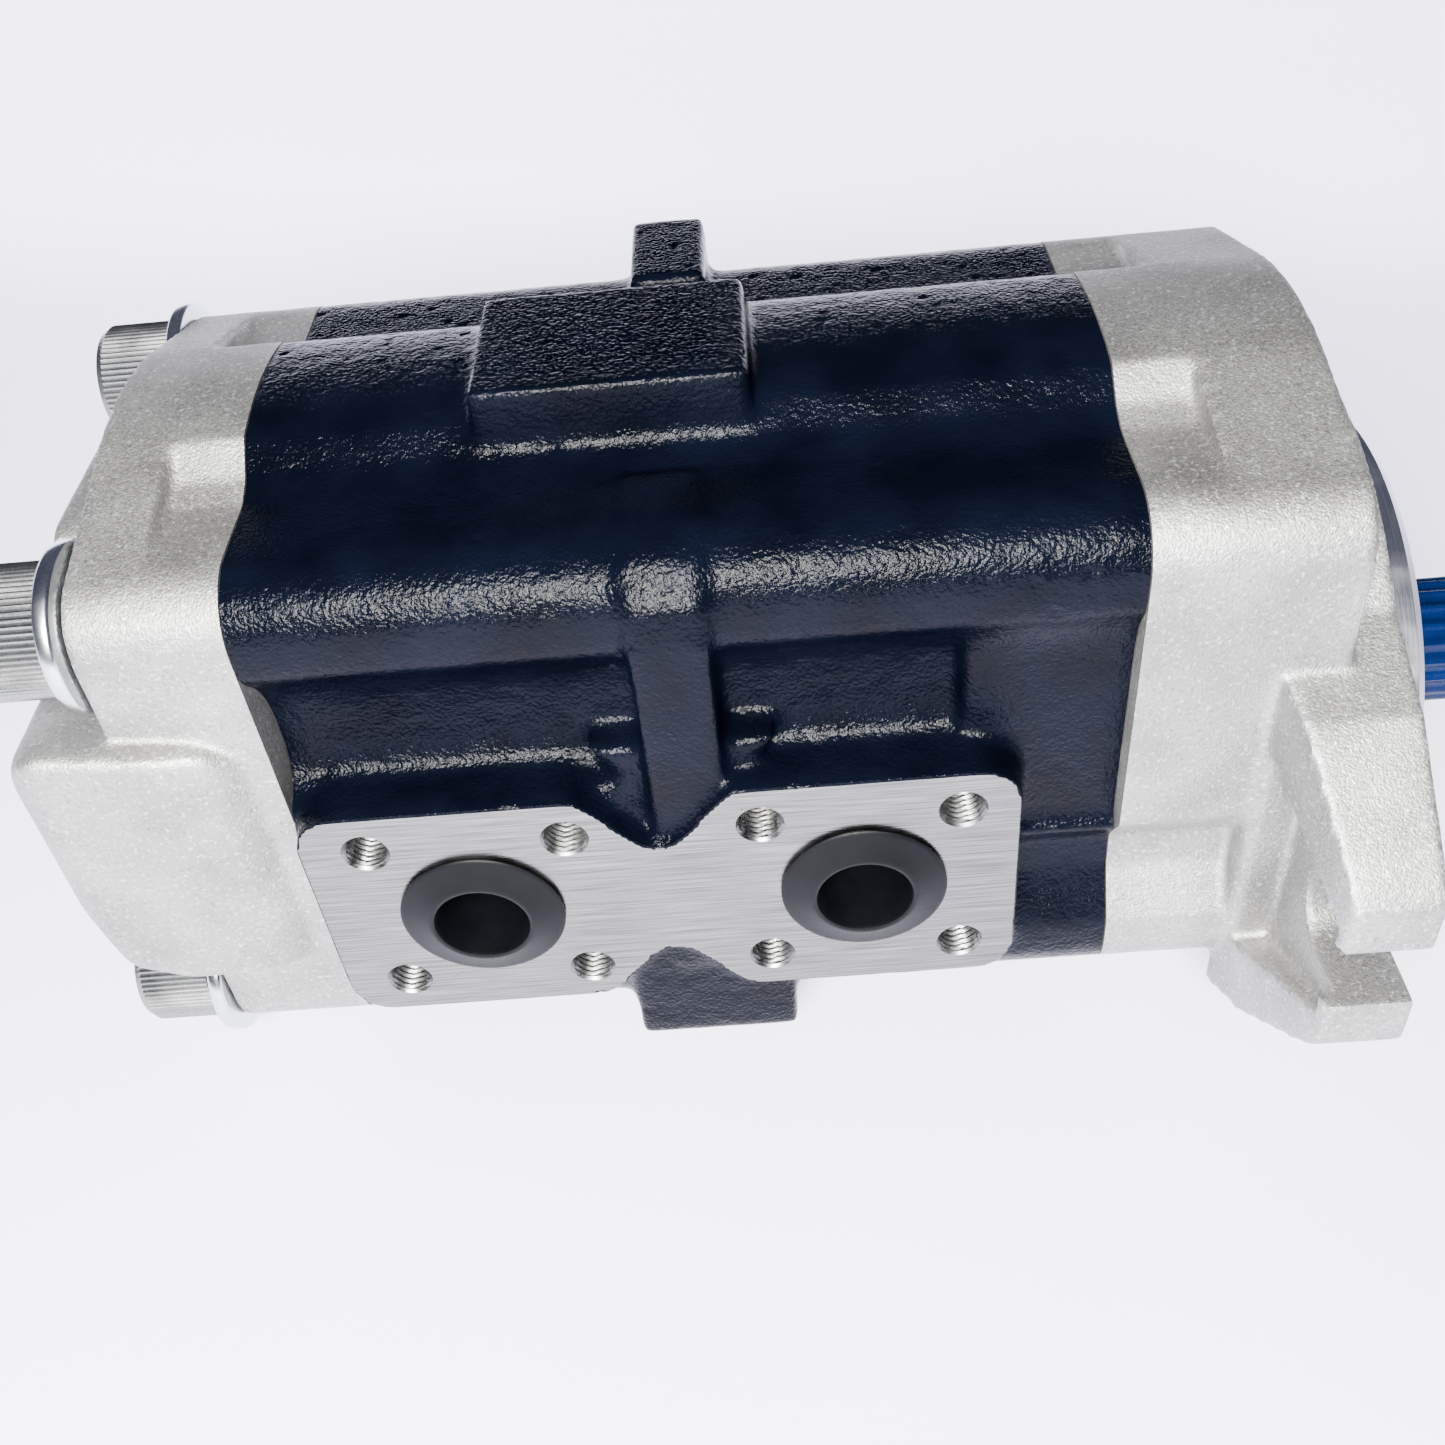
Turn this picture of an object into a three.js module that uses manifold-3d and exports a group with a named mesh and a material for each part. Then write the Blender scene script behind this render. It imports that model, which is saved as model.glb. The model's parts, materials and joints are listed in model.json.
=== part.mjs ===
// Tandem external gear pump: two gear sections in one cast body, an aluminium cover on each end,
// a two-bolt flange with a round pilot, and a splined shaft under a plastic protector.
// Pump axes: X runs along the drive shaft and is 0 at the rear joint face, Y is 0 on the shaft and the
// outlets face -Y, Z is 0 on the drive shaft. The pump's group lifts this onto the flange's lowest edge.

import * as THREE from 'three';
import { mergeVertices } from 'three/addons/utils/BufferGeometryUtils.js';
import Module from 'manifold-3d';

// ---- driving dimensions, mm ------------------------------------------------------------------------

const gap = 0.3;                      // clearance between two pieces that touch
const past = 1;                       // a cutting tool runs this far past the face that it cuts
const bodyLength = 148.7;
const centreDistance = 38.1;          // drive gear to driven gear
const midZ = centreDistance / 2;

const boltY = 42.5;                   // bolts stand at plus and minus this
const boltZ = 44.2;                   // and at this above and below the middle
const boltRadius = 7.25;
const boltHoleRadius = 7.6;
const headRadius = 11.8;
const headLength = 16;
const headChamfer = 1.2;
const hexSocketRadius = 8.1;
const washerRadius = 15;
const washerThickness = 3;
const headRoom = washerRadius + 1.2;  // spot-faced clearance round a washer
const boltGrip = 28;                  // length held in the front cover

const cornerRadius = 12;              // casing corners are round about the bolts
const crownHalfWidth = 17;
const crownRise = 8.8;                // lobe above the casing's flat
const crownBow = 1.8;
const shoulderHalfWidth = 28;
const shoulderRise = 1.8;
const pocketDepth = 13.5;             // covers follow the body's profile this far

const rearPortX = 30.5;
const frontPortX = 101.5;
const portZ = 2.5;
const portFaceY = -59.5;
const portBoltSquare = 36;
const portBoltRadius = 4;
const portBoltDepth = 12;
const portBoreRadius = 10.2;
const portBoreEndY = -33;
const outletPassage = { halfWidth: 7, bottomZ: -5, topZ: midZ + 8, endY: -12 };
const outletLand = {
  left: 2, right: 128.3, halfHeight: 25.5, corner: 8, footY: -40,
  neckX: 65, neckHalfHeight: 12.2, neckReach: 16,
};

const inletX = 66;
const inletFaceY = 61;
const inletBoreRadius = 16;
const inletBoltSquare = 46;
const inletLand = { halfWidth: 31, halfHeight: 29, footY: 40 };
const suctionGallery = { low: [28, 24, -6], high: [112, 34, 12] };
const suctionWindows = [[24, 38], [100, 116]];   // along X, one into each chamber
const suctionWindow = { fromY: 10, toY: 32, bottomZ: -4, topZ: midZ + 10 };

const waist = { fromX: 14.5, toX: 118.5, bottomZ: 28, topZ: 54.5, y: 46.5 };   // scooped casing sides
const nearRib = { fromX: 64.5, toX: 78, y: -57.2, footY: -30, footZ: -20, rise: 1.5 };
const farRib = { low: [65.5, 30, 10], high: [80.5, 57.5, 82] };
const bottomBlock = { low: [55, -56.5, -43.5], high: [87.5, -30, -10] };
const topPad = { low: [40, -21.5, 60], high: [88, 13.5, 89] };
const notchFromX = 128.5;             // the near lower edge is cut back from here
const notchToX = 172;

const flangeFaceX = 194.5;
const flangeRadius = 65;
const flangeBackX = 181;
const discBackX = 184;
const coverFrontX = 184.5;
const pilotRadius = 50.8;
const pilotHeight = 10.2;
const pilotRim = { chamfer: 1.6, innerRadius: 33, recessRadius: 31, recessDepth: 3 };
const slotCentreY = 73;
const slotRadius = 7.15;
const earEndY = 87;
const earRootY = 50;
const earRootX = 172;                 // the wedge behind each ear starts here at its root
const earTipBackX = 179;              // and here at the ear's tip
const earHalfHeight = 47;

const rearCoverX = -26.5;
const rearPadX = -35.5;
const rearPad = { halfWidth: 32.5, bottomZ: -34.4, topZ: 72.5, corner: 10 };
const bulgeX = -46.5;
const bulgeBottomZ = -11.5;
const bulgeHeight = 60;

const gearTeeth = 12;
const gearModule = centreDistance / gearTeeth;
const pressureAngle = THREE.MathUtils.degToRad(25);
const addendum = 0.85 * gearModule;
const dedendum = 1.12 * gearModule;
const backlash = 0.35;                // taken off each gear's teeth
const rootTurn = 0.03;                // radians from a flank's foot to the root circle
const chamberRadius = 22.2;
const blockRadius = 21.85;
const journalRadius = 9.85;
const bushInner = 10;
const bushOuter = 12.4;
const bushFit = 0.15;
const chambers = {
  rear: { start: 0, end: 62.5, gearFrom: 17.5, gearTo: 44, driveEnds: [1.2, 64], drivenEnds: [1.2, 61.3] },
  front: {
    start: 74.2, end: bodyLength, gearFrom: 92, gearTo: 128,
    driveEnds: [73, bodyLength + 2], drivenEnds: [75.5, bodyLength - 1.2],
  },
};
const blockEndPlay = 0.1;
const webBore = 14.2;
const squareDrive = 6.4;              // half width of the tangs under the coupling
const rearTang = [63, 68];
const frontTang = [69, 74];
const couplingFromX = 64.4;
const couplingToX = 72.6;

const shaftRadius = 11.1;
const shaftStepX = bodyLength + 1.2;
const shaftBoreRadius = 12;
const shaftEndX = 235.8;
const splineTeeth = 13;
const splineRadius = 10.9;
const splineRoot = 9.8;
const splineStartX = 204;
const splineRunOut = 1.3;
const sealOuter = 20;
const sealX = 191.5;
const sealWidth = 8;
const ringX = 200;
const ringThickness = 1.6;
const ringOuter = 21.6;
const ringWidth = 3;
const ringOpening = THREE.MathUtils.degToRad(14);
const mouthRadius = 20.8;

const capOuter = 13;
const capInner = 11.3;
const capEndWall = 2.5;
const capRibDepth = 0.7;
const capRibs = 20;
const capStartX = 206.3;
const capEndX = 239;

const plugDepth = 16;
const plugFloor = 14;
const plugRim = 3.2;
const plugBrim = 1.2;
const outletPlugRadius = 15.3;
const inletPlugRadius = 20.5;

const dowelY = 45;
const dowelRadius = 4;
const dowelFit = 0.15;
const dowelHalfLength = 7;
const coverSeal = { groove: [24.3, 27.6], ring: [24.7, 27.2], grooveDepth: 2.8, section: 2.4 };
const blockSeal = { groove: [19.2, 20.9], ring: [19.5, 20.6], grooveDepth: 1.6, section: 1.3 };

const arcSteps = 6;                   // straight pieces per drawn arc
const cornerSteps = 7;
const crownSteps = 3;
const discSteps = 20;
const pairSteps = 16;
const roundSteps = 20;                // sides of a round part
const holeSteps = 16;

// ---- solids ----------------------------------------------------------------------------------------

const wasm = await Module();
wasm.setup();

function solid(geometry) {
  const bare = geometry.clone();
  bare.deleteAttribute('normal');
  bare.deleteAttribute('uv');
  const merged = mergeVertices(bare, 1e-4);
  return new wasm.Manifold(new wasm.Mesh({
    numProp: 3,
    vertProperties: new Float32Array(merged.attributes.position.array),
    triVerts: new Uint32Array(merged.index.array),
  }));
}

function geometryOf(manifold) {
  const mesh = manifold.getMesh();
  const geometry = new THREE.BufferGeometry();
  geometry.setAttribute('position', new THREE.BufferAttribute(new Float32Array(mesh.vertProperties), 3));
  geometry.setIndex(new THREE.BufferAttribute(new Uint32Array(mesh.triVerts), 1));
  geometry.computeVertexNormals();
  return geometry;
}

const join = (...pieces) => pieces.reduce((sum, piece) => sum.add(piece));
const cut = (base, ...tools) => tools.reduce((rest, tool) => rest.subtract(tool), base);

// A box between two corners.
function box(low, high) {
  const size = high.map((value, axis) => value - low[axis]);
  const geometry = new THREE.BoxGeometry(...size);
  geometry.translate(...low.map((value, axis) => value + size[axis] / 2));
  return solid(geometry);
}

// A shape drawn in (Y, Z), extruded along X.
function alongX(shape, fromX, toX) {
  const geometry = new THREE.ExtrudeGeometry(shape, {
    depth: toX - fromX, bevelEnabled: false, curveSegments: arcSteps,
  });
  const turn = new THREE.Matrix4().set(0, 0, 1, fromX, 1, 0, 0, 0, 0, 1, 0, 0, 0, 0, 0, 1);
  geometry.applyMatrix4(turn);
  return solid(geometry);
}

// A shape drawn in (X, Z), extruded from one Y to a greater one.
function alongY(shape, fromY, toY) {
  const geometry = new THREE.ExtrudeGeometry(shape, {
    depth: toY - fromY, bevelEnabled: false, curveSegments: arcSteps,
  });
  geometry.rotateX(Math.PI / 2);
  geometry.translate(0, toY, 0);
  return solid(geometry);
}

// A shape drawn in (X, Y), extruded up from one Z.
function alongZ(shape, fromZ, height) {
  const geometry = new THREE.ExtrudeGeometry(shape, { depth: height, bevelEnabled: false });
  geometry.translate(0, 0, fromZ);
  return solid(geometry);
}

// A profile of (distance along the axis, radius) pairs, turned about a line parallel to X.
function turnedX(profile, y, z, sides = roundSteps) {
  const points = profile.map(([along, radius]) => new THREE.Vector2(radius, along));
  const geometry = new THREE.LatheGeometry(points, sides);
  geometry.rotateZ(-Math.PI / 2);
  geometry.translate(0, y, z);
  return solid(geometry);
}

// The same about a line parallel to Y; the profile runs towards +Y.
function turnedY(profile, x, z, sides = roundSteps) {
  const points = profile.map(([along, radius]) => new THREE.Vector2(radius, along));
  const geometry = new THREE.LatheGeometry(points, sides);
  geometry.translate(x, 0, z);
  return solid(geometry);
}

const rod = (fromX, toX, radius, y, z, sides = roundSteps) =>
  turnedX([[fromX, 0], [fromX, radius], [toX, radius], [toX, 0]], y, z, sides);

const tube = (fromX, toX, inner, outer, y, z, sides = roundSteps) =>
  turnedX([[fromX, inner], [fromX, outer], [toX, outer], [toX, inner], [fromX, inner]], y, z, sides);

const rodY = (fromY, toY, radius, x, z, sides = roundSteps) =>
  turnedY([[fromY, 0], [fromY, radius], [toY, radius], [toY, 0]], x, z, sides);

// ---- outlines --------------------------------------------------------------------------------------

const flatTop = boltZ + cornerRadius;
const crownTop = flatTop + crownRise;

function polygon(points) {
  return new THREE.Shape(points.map(([a, b]) => new THREE.Vector2(a, b)));
}

// A quarter of a section, mirrored left and right, then up and down, about the middle of the casing.
function mirrored(quarter) {
  const upper = [...quarter, ...quarter.map(([y, z]) => [-y, z]).reverse()];
  const whole = [...upper, ...upper.map(([y, z]) => [y, -z]).reverse()];
  const distinct = whole.filter(([y, z], index) => {
    const [nextY, nextZ] = whole[(index + 1) % whole.length];
    return Math.hypot(nextY - y, nextZ - z) > 1e-6;
  });
  return polygon(distinct.map(([y, z]) => [y, z + midZ]));
}

function arc(centreY, centreZ, radius, fromAngle, toAngle, steps = arcSteps) {
  const points = [];
  for (let i = 0; i <= steps; i += 1) {
    const angle = fromAngle + (toAngle - fromAngle) * i / steps;
    points.push([centreY + radius * Math.cos(angle), centreZ + radius * Math.sin(angle)]);
  }
  return points;
}

function crownEdge() {
  const points = [];
  for (let i = 0; i <= crownSteps; i += 1) {
    const y = crownHalfWidth * (1 - i / crownSteps);
    points.push([y, crownTop - crownBow * (y / crownHalfWidth) ** 2]);
  }
  return points;
}

// The casing's section: round corners about the bolts and a raised lobe over each gear.
function casingOutline() {
  const corner = arc(boltY, boltZ, cornerRadius, 0, Math.PI / 2, cornerSteps);
  const shoulder = [[shoulderHalfWidth, flatTop], [shoulderHalfWidth - 5, flatTop + shoulderRise]];
  return mirrored([...corner, ...shoulder, ...crownEdge()]);
}

// The covers' outer section: the same casing with the hollows beside each lobe filled up.
function coverOutline() {
  const slope = Math.atan2(crownRise - crownBow, boltY - crownHalfWidth);
  const corner = arc(boltY, boltZ, cornerRadius, 0, Math.PI / 2 - slope, cornerSteps);
  return mirrored([...corner, ...crownEdge()]);
}

// Two circles about the gear centres, run together with a waist between them.
function pairOutline(radius) {
  const half = Math.asin(midZ / radius);
  const top = arc(0, centreDistance, radius, -half, Math.PI + half, pairSteps);
  const bottom = arc(0, 0, radius, Math.PI - half, 2 * Math.PI + half, pairSteps);
  return polygon([...top, ...bottom.slice(1, -1)]);
}

// The same two circles joined by straight sides.
function loopOutline(radius) {
  const top = arc(0, centreDistance, radius, 0, Math.PI, arcSteps * 2);
  const bottom = arc(0, 0, radius, Math.PI, 2 * Math.PI, arcSteps * 2);
  return polygon([...top, ...bottom]);
}

// The outlet face: two square lands joined by a narrow neck.
function outletOutline() {
  const { left, right, halfHeight, corner, neckX, neckHalfHeight, neckReach } = outletLand;
  const top = portZ + halfHeight;
  const bottom = portZ - halfHeight;
  const neckTop = portZ + neckHalfHeight;
  const neckBottom = portZ - neckHalfHeight;
  const bend = neckReach / 2;
  const shape = new THREE.Shape();
  shape.moveTo(left + corner, top);
  shape.lineTo(neckX - neckReach, top);
  shape.bezierCurveTo(neckX - bend, top, neckX - bend, neckTop, neckX, neckTop);
  shape.bezierCurveTo(neckX + bend, neckTop, neckX + bend, top, neckX + neckReach, top);
  shape.lineTo(right - corner, top);
  shape.quadraticCurveTo(right, top, right, top - corner);
  shape.lineTo(right, bottom + corner);
  shape.quadraticCurveTo(right, bottom, right - corner, bottom);
  shape.lineTo(neckX + neckReach, bottom);
  shape.bezierCurveTo(neckX + bend, bottom, neckX + bend, neckBottom, neckX, neckBottom);
  shape.bezierCurveTo(neckX - bend, neckBottom, neckX - bend, bottom, neckX - neckReach, bottom);
  shape.lineTo(left + corner, bottom);
  shape.quadraticCurveTo(left, bottom, left, bottom + corner);
  shape.lineTo(left, top - corner);
  shape.quadraticCurveTo(left, top, left + corner, top);
  return shape;
}

// What is cut from the near lower edge, in (Y, Z).
const notchOutline = polygon([[-70, 7.5], [-54, 7.5], [-48.8, 0], [-49.5, -8], [-54.4, -19], [-70, -19]]);

// ---- holes -----------------------------------------------------------------------------------------

function atBolts(makeTool) {
  return [-boltY, boltY].flatMap((y) => [midZ + boltZ, midZ - boltZ].map((z) => makeTool(y, z)));
}

const boltHoles = (fromX, toX, radius = boltHoleRadius) =>
  atBolts((y, z) => rod(fromX, toX, radius, y, z, holeSteps));

const dowelHoles = (fromX, toX) =>
  [-dowelY, dowelY].map((y) => rod(fromX, toX, dowelRadius + dowelFit, y, midZ, holeSteps));

// Four blind holes on a square; inward is the sign of Y going into the metal.
function portBoltHoles(x, faceY, inward, square) {
  const ends = [faceY - inward * past, faceY + inward * portBoltDepth].sort((a, b) => a - b);
  const sides = [-square / 2, square / 2];
  return sides.flatMap((across) => sides.map((up) =>
    rodY(...ends, portBoltRadius, x + across, portZ + up, 12)));
}

// ---- body ------------------------------------------------------------------------------------------

function makeOutside() {
  const farOut = 80;
  const waists = [
    box([waist.fromX, -farOut, waist.bottomZ], [waist.toX, -waist.y, waist.topZ]),
    box([waist.fromX, waist.y, waist.bottomZ], [waist.toX, farOut, waist.topZ]),
  ];
  const casing = cut(alongX(casingOutline(), 0, bodyLength), ...waists,
    alongX(notchOutline, notchFromX, bodyLength + past));

  const ribTop = midZ + flatTop + nearRib.rise;
  const ribOutline = polygon([
    [nearRib.footY, 30], [nearRib.footY, ribTop], [-44, ribTop], [-51, 73.5], [-56, 67],
    [nearRib.y, 60], [nearRib.y, nearRib.footZ], [nearRib.footY, nearRib.footZ],
  ]);
  const { halfWidth, halfHeight, footY } = inletLand;
  return join(
    casing,
    alongX(ribOutline, nearRib.fromX, nearRib.toX),
    alongY(outletOutline(), portFaceY, outletLand.footY),
    box(bottomBlock.low, bottomBlock.high),
    box(topPad.low, topPad.high),
    box(farRib.low, farRib.high),
    box([inletX - halfWidth, footY, portZ - halfHeight],
      [inletX + halfWidth, inletFaceY, portZ + halfHeight]),
  );
}

function makePassages() {
  const { halfWidth, bottomZ, topZ, endY } = outletPassage;
  const outlets = [rearPortX, frontPortX].map((x) => join(
    rodY(portFaceY - past, portBoreEndY, portBoreRadius, x, portZ, 32),
    box([x - halfWidth, portBoreEndY - past, bottomZ], [x + halfWidth, endY, topZ]),
  ));
  const windows = suctionWindows.map(([fromX, toX]) => box(
    [fromX, suctionWindow.fromY, suctionWindow.bottomZ], [toX, suctionWindow.toY, suctionWindow.topZ]));
  const inlet = join(
    rodY(30, inletFaceY + past, inletBoreRadius, inletX, portZ, 40),
    box(suctionGallery.low, suctionGallery.high),
    ...windows,
  );
  return [...outlets, inlet];
}

function makeBody() {
  const chamberOutline = pairOutline(chamberRadius);
  const { rear, front } = chambers;
  return cut(
    makeOutside(),
    alongX(chamberOutline, rear.start - past, rear.end),
    alongX(chamberOutline, front.start, front.end + past),
    rod(rear.end - past, front.start + past, webBore, 0, 0),
    ...makePassages(),
    ...portBoltHoles(rearPortX, portFaceY, 1, portBoltSquare),
    ...portBoltHoles(frontPortX, portFaceY, 1, portBoltSquare),
    ...portBoltHoles(inletX, inletFaceY, -1, inletBoltSquare),
    ...boltHoles(-past, bodyLength + past),
    ...dowelHoles(-past, dowelHalfLength + gap),
    ...dowelHoles(bodyLength - dowelHalfLength - gap, bodyLength + past),
  );
}

// ---- covers ----------------------------------------------------------------------------------------

function sealGroove(fromX, toX) {
  const [inner, outer] = coverSeal.groove;
  return cut(alongX(loopOutline(outer), fromX, toX), alongX(loopOutline(inner), fromX - past, toX + past));
}

// The rounded rectangle raised on the rear cover, in (Y, Z).
function rearPadOutline() {
  const { halfWidth, bottomZ, topZ, corner } = rearPad;
  const side = halfWidth - corner;
  const high = topZ - corner;
  const low = bottomZ + corner;
  const centres = [[side, high], [-side, high], [-side, low], [side, low]];
  return polygon(centres.flatMap(([y, z], quarter) =>
    arc(y, z, corner, quarter * Math.PI / 2, (quarter + 1) * Math.PI / 2)));
}

// The rounded housing at the near rear corner: its plan in (X, Y) crossed with its side in (X, Z).
function makeBulge() {
  const plan = polygon([
    [-4, -54], [-10, -58.5], [-18, -60], [-40, -60], [-45, -57], [bulgeX, -52], [bulgeX, -34],
    [-42, -30], [-4, -30],
  ]);
  const side = polygon([
    [0, bulgeBottomZ], [-30, bulgeBottomZ], [-40, -7], [-45, 6], [bulgeX, 22], [bulgeX, 40], [-43, 47],
    [-38, 48.5], [-12, 46], [0, 40],
  ]);
  return alongZ(plan, bulgeBottomZ, bulgeHeight).intersect(alongY(side, -70, -20));
}

function makeRearCover() {
  const outside = join(
    alongX(casingOutline(), -pocketDepth - past, -gap),
    alongX(coverOutline(), rearCoverX, -pocketDepth),
    alongX(rearPadOutline(), rearPadX, rearCoverX + past),
    makeBulge(),
  );
  return cut(
    outside,
    ...boltHoles(bulgeX - 20, rearCoverX, headRoom),
    sealGroove(-gap - coverSeal.grooveDepth, past),
    ...boltHoles(rearCoverX - past, past),
    ...dowelHoles(-dowelHalfLength - gap, past),
  );
}

// The flange plate: a disc with two ears, drawn in (Y, Z) about the drive shaft.
function flangeOutline() {
  const joinAngle = Math.atan2(46.8, 45.5);
  const disc = arc(0, 0, flangeRadius, joinAngle, Math.PI - joinAngle, discSteps);
  const ear = [[-63.5, 38.5], [-80, 25], [-earEndY + 2, 20.5], [-earEndY, 17.5]];
  const upper = [...disc, ...ear];
  const lower = upper.map(([y, z]) => [-y, -z]);
  const nearLower = ear.map(([y, z]) => [y, -z]).reverse();
  const farUpper = ear.map(([y, z]) => [-y, z]).reverse();
  return polygon([...upper, ...nearLower, ...lower, ...farUpper]);
}

// Each ear leans back into the cover as a wedge, with a flat-floored recess round its slot.
function earWedge(side) {
  const plan = polygon([
    [earRootX, side * earRootY], [earTipBackX, side * earEndY],
    [flangeFaceX, side * earEndY], [flangeFaceX, side * earRootY],
  ]);
  const recess = polygon([
    [side * 56, 25], [side * 80, 13], [side * 84, 11], [side * 84, -11], [side * 80, -13], [side * 56, -25],
  ]);
  return cut(alongZ(plan, -earHalfHeight, 2 * earHalfHeight),
    alongX(recess, earRootX - past, flangeBackX));
}

function earSlot(side) {
  const fromX = earRootX - past;
  const toX = flangeFaceX + past;
  const open = [slotCentreY, earEndY + past].map((y) => side * y).sort((a, b) => a - b);
  return join(
    rod(fromX, toX, slotRadius, side * slotCentreY, 0, 28),
    box([fromX, open[0], -slotRadius], [toX, open[1], slotRadius]),
  );
}

function makePilot() {
  const { chamfer, innerRadius, recessRadius, recessDepth } = pilotRim;
  const end = flangeFaceX + pilotHeight;
  return turnedX([
    [flangeFaceX - past, 0], [flangeFaceX - past, pilotRadius], [end - chamfer, pilotRadius],
    [end, pilotRadius - chamfer], [end, innerRadius], [end - recessDepth, recessRadius],
    [end - recessDepth, 0],
  ], 0, 0, 48);
}

// The shaft's way through the cover: a running bore, the seal's seat and the ring's groove.
function makeShaftBore(fromX) {
  const seat = sealOuter + gap;
  const groove = ringOuter + gap;
  const mouthX = flangeFaceX + pilotHeight + past;
  return turnedX([
    [fromX, 0], [fromX, shaftBoreRadius], [sealX - gap, shaftBoreRadius], [sealX - gap, seat],
    [ringX - gap, seat], [ringX - gap, groove], [ringX + ringThickness + gap, groove],
    [ringX + ringThickness + gap, mouthRadius], [mouthX, mouthRadius], [mouthX, 0],
  ], 0, 0);
}

function makeFrontCover() {
  const start = bodyLength + gap;
  const plate = flangeOutline();
  const wedges = join(earWedge(-1), earWedge(1)).intersect(alongX(plate, earRootX - past, flangeFaceX));
  const outside = join(
    alongX(casingOutline(), start, start + pocketDepth + past),
    alongX(coverOutline(), start + pocketDepth, coverFrontX),
    alongX(plate, discBackX, flangeFaceX),
    wedges,
    makePilot(),
  );
  return cut(
    outside,
    alongX(notchOutline, start - past, notchToX),
    earSlot(-1),
    earSlot(1),
    makeShaftBore(start - past),
    sealGroove(start - past, start + coverSeal.grooveDepth),
    ...boltHoles(start - past, start + boltGrip + 2),
    ...dowelHoles(start - past, bodyLength + dowelHalfLength + gap),
  );
}

// ---- gears and shafts ------------------------------------------------------------------------------

const polarPoint = (radius, angle) => [radius * Math.cos(angle), radius * Math.sin(angle)];

// One involute gear outline; a tooth or a gap points straight along +Z, as asked.
function gearOutline(toothUp) {
  const pitchRadius = centreDistance / 2;
  const baseRadius = pitchRadius * Math.cos(pressureAngle);
  const tipRadius = pitchRadius + addendum;
  const rootRadius = pitchRadius - dedendum;
  const involute = (angle) => Math.tan(angle) - angle;
  const halfTooth = Math.PI / (2 * gearTeeth) - backlash / (2 * pitchRadius);
  const halfAngleAt = (radius) => {
    const pressure = Math.acos(Math.min(1, baseRadius / radius));
    return halfTooth + involute(pressureAngle) - involute(pressure);
  };
  const flankStart = Math.max(baseRadius, rootRadius);
  const flank = [0, 0.5, 1].map((t) => flankStart + (tipRadius - flankStart) * t);
  const footAngle = halfAngleAt(flankStart) + rootTurn;
  const phase = Math.PI / 2 + (toothUp ? 0 : Math.PI / gearTeeth);
  const points = [];
  for (let tooth = 0; tooth < gearTeeth; tooth += 1) {
    const centre = phase + 2 * Math.PI * tooth / gearTeeth;
    points.push(polarPoint(rootRadius, centre - footAngle));
    flank.forEach((radius) => points.push(polarPoint(radius, centre - halfAngleAt(radius))));
    [...flank].reverse().forEach((radius) => points.push(polarPoint(radius, centre + halfAngleAt(radius))));
    points.push(polarPoint(rootRadius, centre + footAngle));
  }
  return polygon(points);
}

// A ring of equal teeth or ribs; the profile is (radius, turn) pairs, a turn being in pitches.
function toothedOutline(count, profile) {
  const points = [];
  for (let tooth = 0; tooth < count; tooth += 1) {
    profile.forEach(([radius, turn]) => points.push(polarPoint(radius, 2 * Math.PI * (tooth + turn) / count)));
  }
  return polygon(points);
}

function gearWithJournals(chamber, toothUp, z, [fromX, toX]) {
  const teeth = alongX(gearOutline(toothUp), chamber.gearFrom, chamber.gearTo).translate([0, 0, z]);
  return join(teeth, rod(fromX, toX, journalRadius, 0, z));
}

const squareBar = (fromX, toX, half) => box([fromX, -half, -half], [toX, half, half]);

function makeFrontDriveGear() {
  const { front } = chambers;
  const shaft = turnedX([
    [front.gearTo, 0], [front.gearTo, journalRadius], [bodyLength, journalRadius],
    [shaftStepX, shaftRadius], [splineStartX - splineRunOut, shaftRadius], [splineStartX, splineRoot],
    [shaftEndX, splineRoot], [shaftEndX, 0],
  ], 0, 0);
  const splineOutline = toothedOutline(splineTeeth, [
    [splineRoot - 0.2, -0.5], [splineRoot, -0.31], [splineRadius, -0.17],
    [splineRadius, 0.17], [splineRoot, 0.31],
  ]);
  return join(
    gearWithJournals(front, true, 0, front.driveEnds),
    squareBar(...frontTang, squareDrive),
    shaft,
    alongX(splineOutline, splineStartX, shaftEndX - past),
  );
}

const makeRearDriveGear = () => join(
  gearWithJournals(chambers.rear, true, 0, chambers.rear.driveEnds), squareBar(...rearTang, squareDrive));

const makeCoupling = () => cut(
  rod(couplingFromX, couplingToX, webBore - 0.5, 0, 0),
  squareBar(couplingFromX - past, couplingToX + past, squareDrive + gap),
);

// ---- bearings and seals ----------------------------------------------------------------------------

function makeBearingBlock(fromX, toX, grooveX) {
  const [inner, outer] = blockSeal.groove;
  const depth = blockSeal.grooveDepth;
  const bores = [0, centreDistance].map((z) => rod(fromX - past, toX + past, bushOuter + bushFit, 0, z));
  const groove = cut(alongX(pairOutline(outer), grooveX - depth, grooveX + depth),
    alongX(pairOutline(inner), grooveX - depth - past, grooveX + depth + past));
  return cut(alongX(pairOutline(blockRadius), fromX, toX), ...bores, groove);
}

function makeSealLoop(outline, [inner, outer], fromX, section) {
  return cut(alongX(outline(outer), fromX, fromX + section),
    alongX(outline(inner), fromX - past, fromX + section + past));
}

const makeBlockSeal = (fromX) => makeSealLoop(pairOutline, blockSeal.ring, fromX, blockSeal.section);
const makeCoverSeal = (fromX) => makeSealLoop(loopOutline, coverSeal.ring, fromX, coverSeal.section);

function makeLipSeal() {
  const lip = shaftRadius + gap;
  const inside = lip + 3.5;
  const lipWidth = 3;
  const bevel = 1.5;
  return turnedX([
    [sealX, lip + bevel], [sealX, sealOuter], [sealX + sealWidth, sealOuter], [sealX + sealWidth, inside],
    [sealX + lipWidth, inside], [sealX + lipWidth, lip], [sealX + bevel, lip], [sealX, lip + bevel],
  ], 0, 0);
}

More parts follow.
